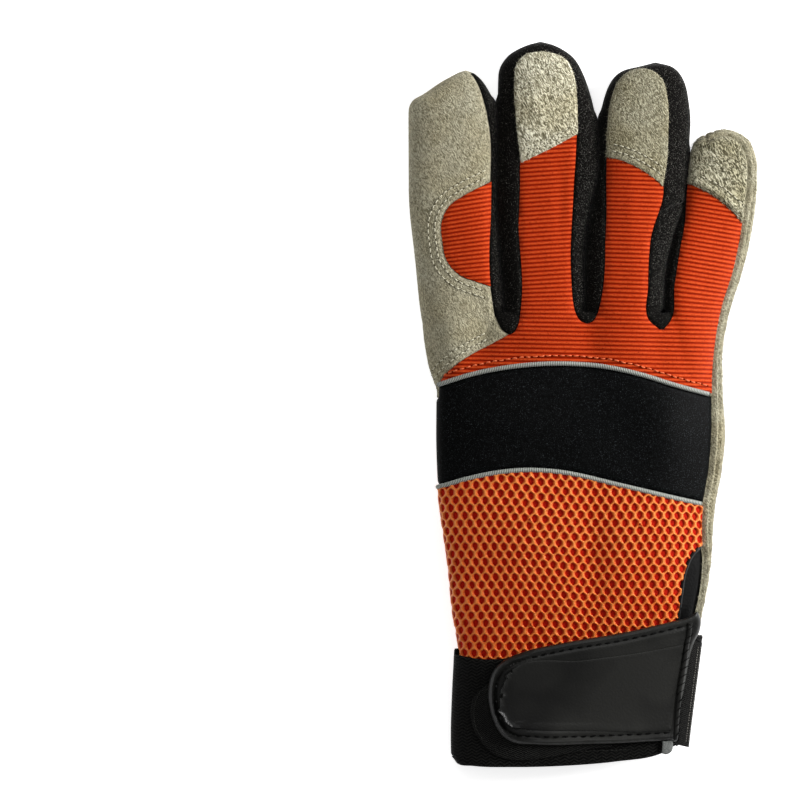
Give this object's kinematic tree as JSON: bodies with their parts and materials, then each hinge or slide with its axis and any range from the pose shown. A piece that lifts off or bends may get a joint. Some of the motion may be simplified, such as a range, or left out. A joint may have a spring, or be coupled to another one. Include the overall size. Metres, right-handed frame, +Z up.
{
  "type": "mechanic glove",
  "caption": "Right-hand work glove lying palm down: knit and mesh back, suede palm, thumb folded under, strap cuff.",
  "frame": {"origin": "middle of the footprint, on the surface that the glove lies on", "axes": "+X to the little finger's side, +Y to the fingertips, +Z up from the palm to the back of the hand"},
  "size_m": [0.1198, 0.2496, 0.03],
  "materials": {
    "suede": "split cowhide with a raised nap",
    "pale_suede": "pale grey split cowhide with a short nap",
    "rib_knit": "orange polyester with fine cross ribs",
    "spacer_mesh": "orange spacer mesh with six-sided holes over a red base",
    "jersey": "black brushed stretch jersey",
    "neoprene": "black laminated neoprene, fine matt jersey face",
    "webbing": "black woven elastic",
    "vinyl": "black coated synthetic leather, satin",
    "grip_pad": "black synthetic leather embossed in squares, white double stitching",
    "piping_cord": "grey corded piping"
  },
  "bodies": {
    "root": {"palm_leather": "suede", "index_leather": "suede", "index_back": "rib_knit", "back_rib": "rib_knit", "cap_middle": "suede", "cap_ring": "suede", "cap_little": "suede", "side_wall_1": "jersey", "side_wall_2": "jersey", "side_wall_3": "jersey", "piping_upper": "piping_cord", "piping_lower": "piping_cord", "knuckle_band": "neoprene", "mesh_back": "spacer_mesh", "slit_gusset": "vinyl", "cuff": "webbing", "loop_patch": "webbing", "strap": "vinyl", "strap_facing": "vinyl", "hook_tab": "webbing", "thumb_back": "rib_knit", "thumb_saddle": "pale_suede", "thumb_palm": "suede", "knuckle_pad": "grip_pad", "palm_pad": "grip_pad"}
  },
  "joints": []
}
